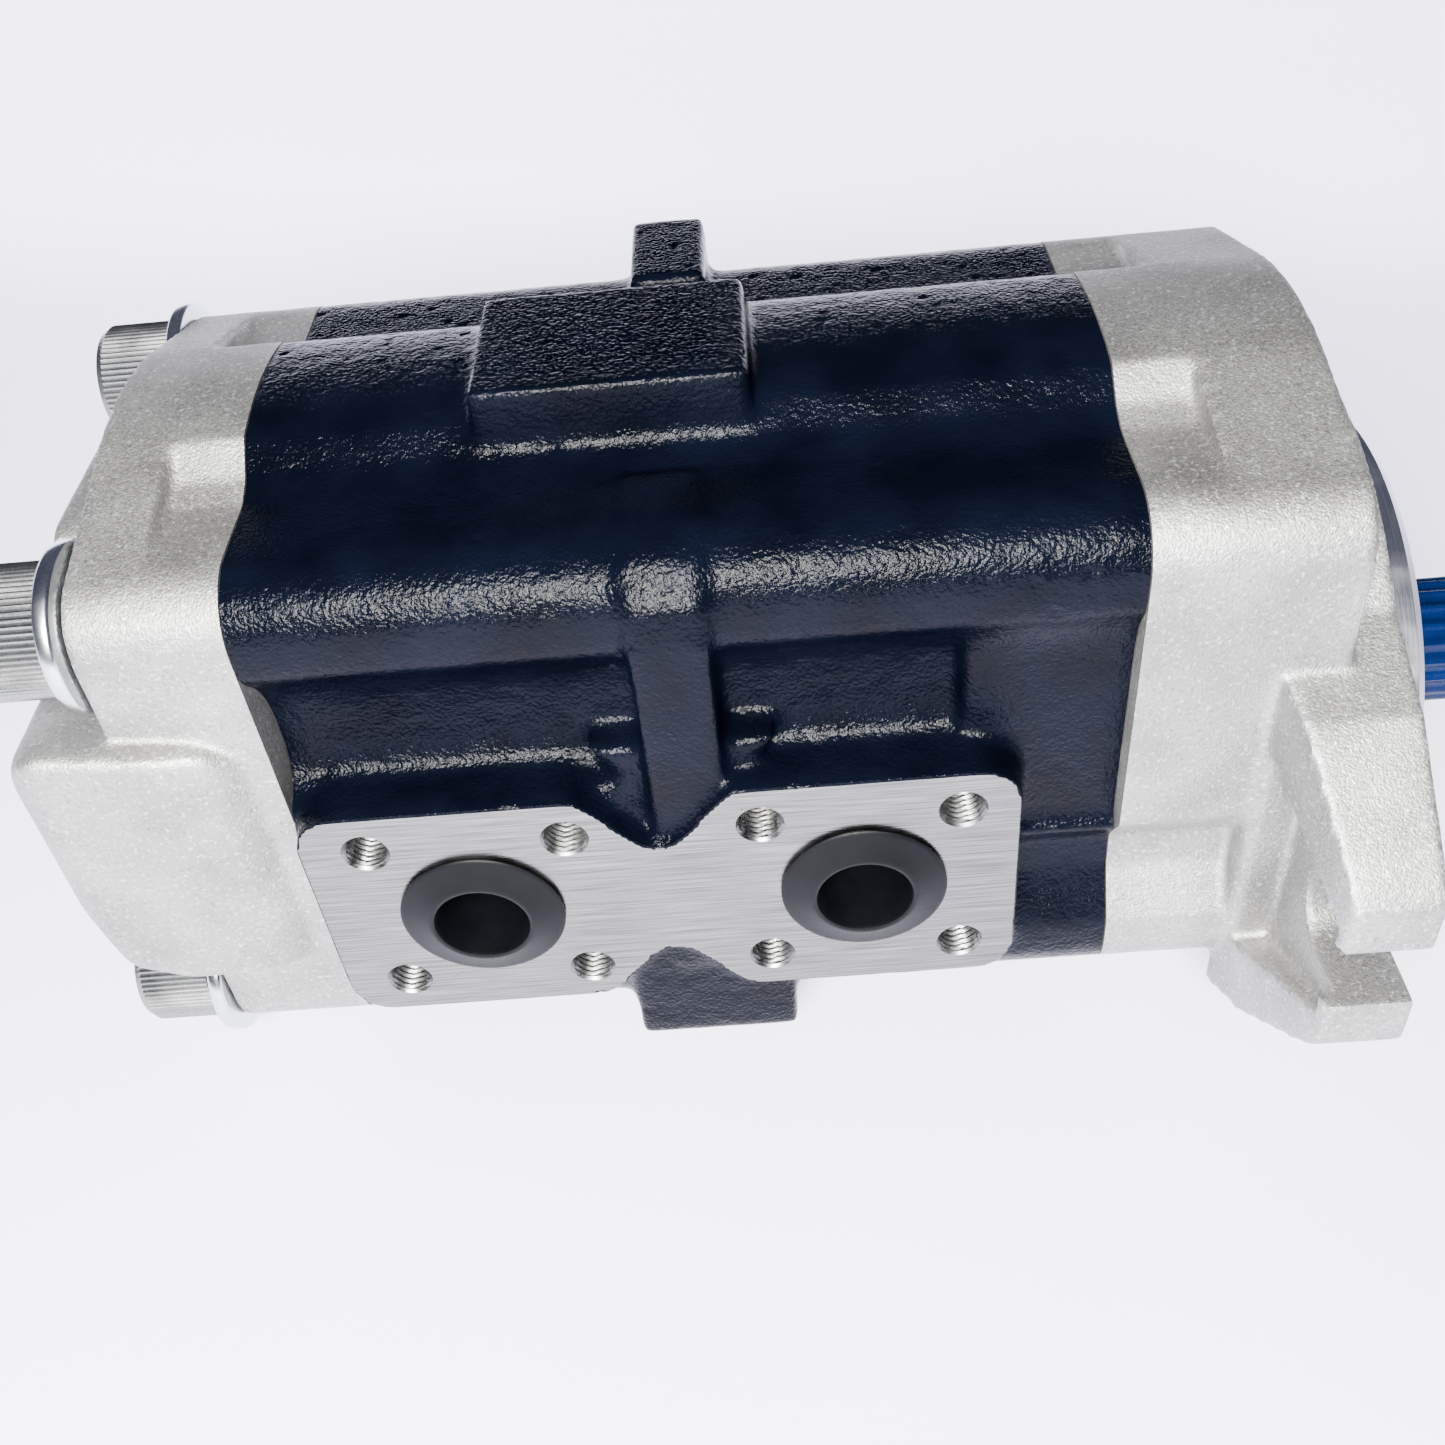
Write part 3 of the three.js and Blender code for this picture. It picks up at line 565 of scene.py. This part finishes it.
def threaded_square(x, face, inward, square):
    """Four tapped holes on a square round a port, each with a small countersink."""
    half = square / 2
    corners = [(x + sx * half, PORT_Z + sz * half) for sx in (-1, 1) for sz in (-1, 1)]
    tools = [thread_tool(cx, cz, face - inward, face + inward * TAPPED_DEPTH) for cx, cz in corners]
    outer, inner = face - inward * 0.5, face + inward * 0.5
    countersink = [(outer, 0), (outer, 4.9), (inner, 3.9), (inner, 0)]
    return tools + [turned(countersink, "y", corner, 32) for corner in corners]


def body_blank():
    """The body's cast skin, before anything is machined."""
    blank = prism(casing_section(), "x", -4, BODY_END + 4, "cast_body")
    waists = []
    for side in (-1, 1):
        waists.append(prism([(-side * y, z) for y, z in WAIST], "x", *WAIST_X))
        waists.append(prism([(-side * y, z) for y, z in END_WAIST], "x", *END_WAIST_X))
    combine(blank, "DIFFERENCE", waists + [prism(NOTCH, "x", NOTCH_START, BODY_END + 9)])
    rib_top = MID_Z + FLAT_TOP + 1.5
    rib = [(-30, 30), (-30, rib_top), (-44, rib_top), (-51, 73.5), (-56, 67), (-57.2, 60),
           (-57.2, -20), (-30, -20)]
    funnel = [(54, 36), (88, 36), (75, 15), (68, 15)]
    land = rounded_box(INLET_X - 32, PORT_Z - 30, INLET_X + 32, PORT_Z + 30, 8)
    parts = [
        prism(rib, "x", *RIB_X),
        prism(funnel, "y", -54, -40),
        prism(outlet_section(1.8), "y", PORT_FACE - 0.7, -40),
        block(*BOTTOM_BLOCK),
        block(*TOP_PAD),
        block(*FAR_RIB),
        prism(land, "y", 40, INLET_FACE + 0.7),
    ]
    return combine(blank, "UNION", parts)


def body_cavities():
    """The gear chambers, ports, passages and holes, as cutting tools."""
    lengths = ((-5, 62.5), (74.2, BODY_END + 5))
    chambers = [prism(pair_section(CHAMBER_RADIUS), "x", start, end) for start, end in lengths]
    outlets = [tool for x in PORTS_X for tool in (
        rod(PORT_FACE - 5, -33, PORT_BORE, "y", (x, PORT_Z), 64),
        block((x - 7, -34, -5), (x + 7, -12, MID_Z + 8)))]
    inlet = [
        rod(30, INLET_FACE + 5, INLET_BORE, "y", (INLET_X, PORT_Z), 64),
        block((28, 24, -6), (112, 34, 12)),
        block((24, 10, -4), (38, 32, MID_Z + 10)),
        block((100, 10, -4), (116, 32, MID_Z + 10)),
    ]
    threads = [tool for x in PORTS_X for tool in threaded_square(x, PORT_FACE, 1, PORT_SQUARE)]
    threads += threaded_square(INLET_X, INLET_FACE, -1, INLET_SQUARE)
    return (chambers + [rod(61, 76, 14.2, "x", (0, 0))] + outlets + inlet + threads
            + bolt_holes(-5, BODY_END + 5)
            + dowel_holes(-5, DOWEL_DEPTH) + dowel_holes(BODY_END - DOWEL_DEPTH, BODY_END + 5))


def body_is_cut(at, normal):
    """Whether a face of the body is a joint face, a port face or inside a tapped hole."""
    close, flat, hole_radius = 0.08, 0.99, 5
    port_face = abs(normal.y) > flat and (at.y < PORT_FACE + close or at.y > INLET_FACE - close)
    joint_face = abs(normal.x) > flat and (at.x < close or at.x > BODY_END - close)
    near_squares = [(x, PORT_SQUARE / 2) for x in PORTS_X]
    squares = near_squares if at.y < 0 else [(INLET_X, INLET_SQUARE / 2)]
    in_hole = any(math.hypot(abs(at.x - x) - half, abs(at.z - PORT_Z) - half) < hole_radius
                  for x, half in squares)
    return port_face or joint_face or (in_hole and abs(at.y) > 47)


def make_body():
    body = body_blank()
    cast(body, 1.02, 18)
    weather(body, 0.09, 3.6, 0.35)
    keep_inside(body, "pump_body")
    facing = [
        block((-FAR, -FAR, -FAR), (0, FAR, FAR)),
        block((BODY_END, -FAR, -FAR), (BODY_END + FAR, FAR, FAR)),
        block((-FAR, -FAR, -FAR), (FAR * 2, PORT_FACE, FAR)),
        block((-FAR, INLET_FACE, -FAR), (FAR * 2, FAR, FAR)),
    ]
    combine(body, "DIFFERENCE", facing + body_cavities())
    coat(body, MATERIALS["body_paint"], MILLED, body_is_cut)
    smooth_by_angle(body)
    finished(body, HOUSING, "body_paint", "pump_body")


# ---- covers ----------------------------------------------------------------------------------------


def seal_groove(start, end):
    groove = prism(loop_section(27.6), "x", start, end)
    return combine(groove, "DIFFERENCE", [prism(loop_section(24.3), "x", start - 1, end + 1)])


def ear_blank(side):
    """One ear's wedge, leaning back into the cover, with the recess round its slot."""
    plan = [(NOTCH_END, side * EAR_ROOT), (179, side * EAR_END), (FLANGE_FACE, side * EAR_END),
            (FLANGE_FACE, side * EAR_ROOT)]
    recess = [(side * y, z) for y, z in ((56, 25), (80, 13), (84, 11), (84, -11), (80, -13), (56, -25))]
    wedge = prism(plan, "z", -47, 47)
    return combine(wedge, "DIFFERENCE", [prism(recess, "x", 150, EAR_BACK)])


def ear_slot(side):
    """A flange slot, round at its inner end and open outward."""
    start, end = 150, FLANGE_FACE + 9
    inner, outer = sorted((side * SLOT_Y, side * FAR))
    slot = rod(start, end, SLOT_RADIUS, "x", (side * SLOT_Y, 0))
    return combine(slot, "UNION", [block((start, inner, -SLOT_RADIUS), (end, outer, SLOT_RADIUS))])


def cover_is_cut(at, _normal):
    """Whether a face of the front cover is in the turned bore round the shaft seal."""
    return math.hypot(at.y, at.z) < 25 and at.x > 160


def make_front_cover():
    start = BODY_END + GAP
    cover = prism(casing_section(), "x", start - 4, start + POCKET + 1, "cast_front_cover")
    wedges = combine(ear_blank(-1), "UNION", [ear_blank(1)])
    combine(wedges, "INTERSECT", [prism(flange_section(), "x", 150, FLANGE_FACE + 3)])
    combine(cover, "UNION", [
        prism(cover_section(), "x", start + POCKET, COVER_FRONT),
        prism(flange_section(), "x", FLANGE_BACK, FLANGE_FACE),
        wedges,
    ])
    combine(cover, "DIFFERENCE", [prism(NOTCH, "x", start - 9, NOTCH_END), ear_slot(-1), ear_slot(1)])
    cast(cover, 0.85, 4)
    weather(cover, 0.07, 6)
    keep_inside(cover, "front_cover")
    bore = [(start - 9, 0), (start - 9, 12), (191.2, 12), (191.2, 20.3), (199.7, 20.3), (199.7, 21.9),
            (201.9, 21.9), (201.9, 20.8), (PILOT_END + 5, 20.8), (PILOT_END + 5, 0)]
    combine(cover, "DIFFERENCE", [
        block((0, -FAR, -FAR), (start, FAR, FAR)),
        turned(bore, "x", (0, 0), 96),
        seal_groove(start - 5, start + 2.8),
        *bolt_holes(start - 5, start + 30),
        *dowel_holes(start - 5, BODY_END + DOWEL_DEPTH),
    ])
    coat(cover, MATERIALS["cast_aluminium"], TURNED, cover_is_cut)
    smooth_by_angle(cover, 40)
    finished(cover, HOUSING, "cast_aluminium", "front_cover")


def make_pilot():
    """The turned spigot that centres the pump, a ring standing on the flange."""
    face, end, chamfer = FLANGE_FACE - 0.02, PILOT_END, 1.6
    profile = [(face, 21.5), (face, PILOT_RADIUS + 0.7), (face + 0.9, PILOT_RADIUS + 0.7),
               (face + 0.9, PILOT_RADIUS - 0.5), (face + 2.2, PILOT_RADIUS - 0.5),
               (face + 2.4, PILOT_RADIUS), (end - chamfer, PILOT_RADIUS),
               (end, PILOT_RADIUS - chamfer), (end, 33), (end - 3, 31), (end - 3, 22.5), (end - 3.6, 21.5)]
    pilot = turned(profile, "x", (0, 0), 192, "pilot_ring", loop=True)
    pilot.data.materials.append(TURNED)
    smooth_by_angle(pilot, 30)
    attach(pilot, HOUSING)


def make_bulge():
    """The rounded bulge low on the rear cover's near side, cut to its outlines from above and beside."""
    plan = [(-4, -54), (-10, -58.5), (-18, -60), (-40, -60), (-45, -57), (-46.5, -52), (-46.5, -34),
            (-42, -30), (-4, -30)]
    side = [(0, -11.5), (-30, -11.5), (-40, -7), (-45, 6), (-46.5, 22), (-46.5, 40), (-43, 47), (-38, 48.5),
            (-12, 46), (0, 40)]
    bulge = prism(plan, "z", -12, 49)
    combine(bulge, "INTERSECT", [prism(side, "y", -FAR, FAR)])
    return cast(bulge, 0.9, 30)


def make_rear_cover():
    cover = prism(casing_section(), "x", -POCKET - 1, 4, "cast_rear_cover")
    pad = rounded_box(-32.5, -34.4, 32.5, 72.5, 10)
    combine(cover, "UNION", [
        prism(cover_section(), "x", REAR_FACE, -POCKET),
        prism(pad, "x", REAR_PAD, REAR_FACE + 1),
        make_bulge(),
    ])
    combine(cover, "DIFFERENCE", bolt_holes(REAR_FACE - FAR, REAR_FACE, WASHER_RADIUS + 1.2))
    cast(cover, 0.8, 5)
    weather(cover, 0.08, 6)
    keep_inside(cover, "rear_cover")
    combine(cover, "DIFFERENCE", [
        block((-GAP, -FAR, -FAR), (FAR, FAR, FAR)),
        *bolt_holes(REAR_FACE - FAR, 5),
        *bolt_holes(REAR_FACE - FAR, REAR_FACE + 0.01, WASHER_RADIUS + 1.0),
        seal_groove(-GAP - 2.8, 5),
        *dowel_holes(-DOWEL_DEPTH, 5),
    ])
    coat(cover, MATERIALS["cast_aluminium"])
    smooth_by_angle(cover, 40)
    finished(cover, HOUSING, "cast_aluminium", "rear_cover")


# ---- fasteners, plugs and protector ----------------------------------------------------------------


def make_cap_screw(name, place):
    """A socket-head screw with a straight-knurled head."""
    seat = REAR_FACE - GAP - WASHER_THICK - GAP
    end = seat - 16
    tip = BODY_END + 28
    knurls = 62
    knurl_depth = 0.45
    hexagon = 7.0
    knurled = (end + 1.6, seat - 1.0)

    def head_shape(along, radius, angle):
        if radius == hexagon:
            turn = (angle + math.pi / 6) % (math.pi / 3) - math.pi / 6
            return hexagon / math.cos(turn)
        if knurled[0] <= along <= knurled[1] and radius > HEAD_RADIUS - 0.1:
            phase = (angle * knurls / (2 * math.pi)) % 1
            return radius - knurl_depth * (1 - abs(2 * phase - 1)) ** 1.5
        return radius

    profile = [(end + 9.5, 0), (end + 8, hexagon), (end + 0.5, hexagon), (end, 7.9),
               (end, HEAD_RADIUS - 1.6),
               (end + 0.3, HEAD_RADIUS - 0.9), (end + 1.5, HEAD_RADIUS - 0.45), (end + 1.6, HEAD_RADIUS),
               (seat - 1.0, HEAD_RADIUS), (seat - 0.9, HEAD_RADIUS - 0.45), (seat, HEAD_RADIUS - 0.9),
               (seat, BOLT_RADIUS), (tip - 1.5, BOLT_RADIUS), (tip, BOLT_RADIUS - 1.5), (tip, 0)]
    screw = turned(profile, "x", place, knurls * 6, name, shape=head_shape)
    screw.data.materials.append(MATERIALS["zinc_steel"])
    smooth_by_angle(screw, 32)
    return screw


def make_washer(name, place):
    back = REAR_FACE - GAP
    front = back - WASHER_THICK
    inner = BOLT_RADIUS + 0.6
    profile = [(back, inner + 0.3), (back, WASHER_RADIUS - 0.7), (back - 0.25, WASHER_RADIUS - 0.2),
               (back - 0.7, WASHER_RADIUS), (front + 0.7, WASHER_RADIUS), (front + 0.25, WASHER_RADIUS - 0.2),
               (front, WASHER_RADIUS - 0.7), (front, inner + 0.3), (front + 0.3, inner), (back - 0.3, inner)]
    washer = turned(profile, "x", place, 96, name, loop=True)
    washer.data.materials.append(MATERIALS["bright_steel"])
    smooth_by_angle(washer, 40)
    return washer


def make_fasteners():
    for side, y in (("near", -BOLT_Y), ("far", BOLT_Y)):
        for level, z in (("upper", MID_Z + BOLT_Z), ("lower", MID_Z - BOLT_Z)):
            screw = make_cap_screw(f"socket_screw_{level}_{side}", (y, z))
            finished(screw, HOUSING, "zinc_steel", f"cap_screw_{level}_{side}")
            washer = make_washer(f"plain_washer_{level}_{side}", (y, z))
            finished(washer, HOUSING, "bright_steel", f"washer_{level}_{side}")


def make_plug(name, x, face, outward, bore, brim, body, node):
    """A press-in dust plug: a stepped brim, a low cone up to the cup's rim, and ribs on the barrel."""
    wall = bore - GAP
    profile = [(-16, 0), (-16, wall - 1.4), (-15, wall - 0.5), (-13.6, wall - 0.35), (-12.8, wall),
               (-12.0, wall - 0.35), (-9.4, wall - 0.35), (-8.6, wall), (-7.8, wall - 0.35),
               (GAP, wall - 0.35),
               (GAP, brim - 0.3), (GAP + 0.3, brim), (0.95, brim), (1.2, brim - 0.3),
               (1.35, brim - 0.9), (2.9, wall + 0.3), (3.15, wall - 0.2), (3.2, wall - 0.6),
               (3.05, wall - 1.0), (2.5, wall - 1.3), (-13.0, wall - 1.8), (-13.9, wall - 2.6), (-14, 0)]
    points = [(face + outward * out, radius) for out, radius in profile]
    plug = turned(points, "y", (x, PORT_Z), 128, name)
    plug.data.materials.append(MATERIALS["black_plastic"])
    smooth_by_angle(plug, 32)
    finished(plug, body, "black_plastic", node)


def make_shaft_cap():
    """The ribbed push-on protector over the spline."""
    start, end, outer, inner = CAP_START, CAP_END, CAP_RADIUS, CAP_INNER
    ribs = 20
    ribbed = (start + 1.0, end - 1.6)

    def rib_shape(along, radius, angle):
        if radius > 12 and ribbed[0] <= along <= ribbed[1]:
            wave = 0.5 - 0.5 * math.cos(angle * ribs)
            return radius - 0.9 * wave ** 0.7
        return radius

    profile = [(end - 2.5, 0), (end - 2.5, inner - 0.8), (end - 3.3, inner), (start, inner),
               (start, outer - 0.4), (start + 0.4, outer), (start + 0.9, outer), (start + 1.0, outer),
               (end - 1.6, outer), (end - 0.8, outer - 1.3), (end - 0.2, outer - 2.2),
               (end, outer - 3.2), (end, 0)]
    cap = turned(profile, "x", (0, 0), ribs * 16, "spline_protector", shape=rib_shape)
    cap.data.materials.append(MATERIALS["blue_plastic"])
    smooth_by_angle(cap, 40)
    finished(cap, "shaft_protector", "blue_plastic", "shaft_cap")


# ---- setting ---------------------------------------------------------------------------------------


def make_camera():
    azimuth, elevation, roll = (math.radians(a) for a in (-3.23, 42.14, -6.56))
    forward = Vector((math.sin(azimuth) * math.cos(elevation), math.cos(azimuth) * math.cos(elevation),
                      -math.sin(elevation)))
    level = forward.cross(Vector((0, 0, 1))).normalized()
    upright = level.cross(forward)
    right = level * math.cos(roll) + upright * math.sin(roll)
    up = upright * math.cos(roll) - level * math.sin(roll)
    turn = Matrix((right, up, -forward)).transposed()
    data = bpy.data.cameras.new("camera")
    data.sensor_width = 36
    data.lens = 37.38
    data.clip_start = 0.01
    camera = bpy.data.objects.new("camera", data)
    camera.matrix_world = Matrix.Translation(Vector((-6.9, -244.2, 278.0)) * MM) @ turn.to_4x4()
    bpy.context.scene.collection.objects.link(camera)
    bpy.context.scene.camera = camera


def plain_material(name, colour, roughness):
    made, tree, shader = new_material(name, 0.0)
    cloud = pattern(tree, 60, 2)
    shade = tint(tree, spread(tree, cloud, 0.3, 0.7, 0, 1), tuple(c * 0.985 for c in colour), colour)
    tree.links.new(shade, shader.inputs["Base Color"])
    shader.inputs["Roughness"].default_value = roughness
    return made


def make_setting():
    """A pale table under the two edges that the pump rests on, sweeping up to a pale wall."""
    flange_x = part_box("front_cover")[1].x - (PILOT_END - FLANGE_BACK) * MM
    cover_x, cover_z = JOINT_X + REAR_FACE * MM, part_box("rear_cover")[0].z
    slope = cover_z / (cover_x - flange_x)
    wide, near, bend_at, bend, wall_top = 3.0, -1.6, 0.30, 0.045, 0.17
    clearance = 0.0005
    profile = [(near, 0.0), (bend_at, 0.0)]
    profile += [(bend_at + bend * math.sin(math.radians(a)), bend * (1 - math.cos(math.radians(a))))
                for a in range(5, 86, 5)]
    profile.append((bend_at + bend, wall_top))
    bm = bmesh.new()
    rows = []
    for x in (-wide, wide):
        lift = slope * (x - flange_x) - clearance
        rows.append([bm.verts.new((x, y, z + lift)) for y, z in profile])
    for i in range(len(profile) - 1):
        bm.faces.new((rows[0][i], rows[1][i], rows[1][i + 1], rows[0][i + 1]))
    mesh = bpy.data.meshes.new("table")
    bm.to_mesh(mesh)
    bm.free()
    mesh.shade_smooth()
    mesh.materials.append(plain_material("pale_table", (0.85, 0.85, 1.0), 0.6))
    table = bpy.data.objects.new("table", mesh)
    bpy.context.scene.collection.objects.link(table)


def make_light(name, at, size, power, colour):
    data = bpy.data.lights.new(name, "AREA")
    data.shape = "DISK"
    data.size = size
    data.energy = power
    data.color = colour
    light = bpy.data.objects.new(name, data)
    light.location = at
    light.rotation_euler = (Vector((0, 0, 0.07)) - Vector(at)).to_track_quat("-Z", "Y").to_euler()
    bpy.context.scene.collection.objects.link(light)


def make_lights():
    make_light("key", (-0.08, -0.62, 0.50), 0.32, 58, (1.0, 0.985, 0.96))
    make_light("ceiling", (0.10, -0.75, 1.05), 0.7, 4, (0.90, 0.92, 1.0))
    world = bpy.data.worlds.new("studio")
    world.use_nodes = True
    background = world.node_tree.nodes["Background"]
    background.inputs["Color"].default_value = (0.62, 0.64, 0.98, 1)
    background.inputs["Strength"].default_value = 0.17
    bpy.context.scene.world = world


# ---- assembly --------------------------------------------------------------------------------------

make_camera()
make_setting()
make_lights()
carry_over_materials()
make_body()
make_front_cover()
make_pilot()
make_rear_cover()
make_fasteners()
for end_name, port_x in zip(("rear", "front"), PORTS_X):
    make_plug(f"dust_plug_{end_name}", port_x, PORT_FACE, -1, PORT_BORE, PORT_BRIM,
              f"{end_name}_outlet_closure", f"outlet_plug_{end_name}")
make_plug("dust_plug_inlet", INLET_X, INLET_FACE, 1, INLET_BORE, INLET_BRIM, "inlet_closure", "inlet_plug")
make_shaft_cap()
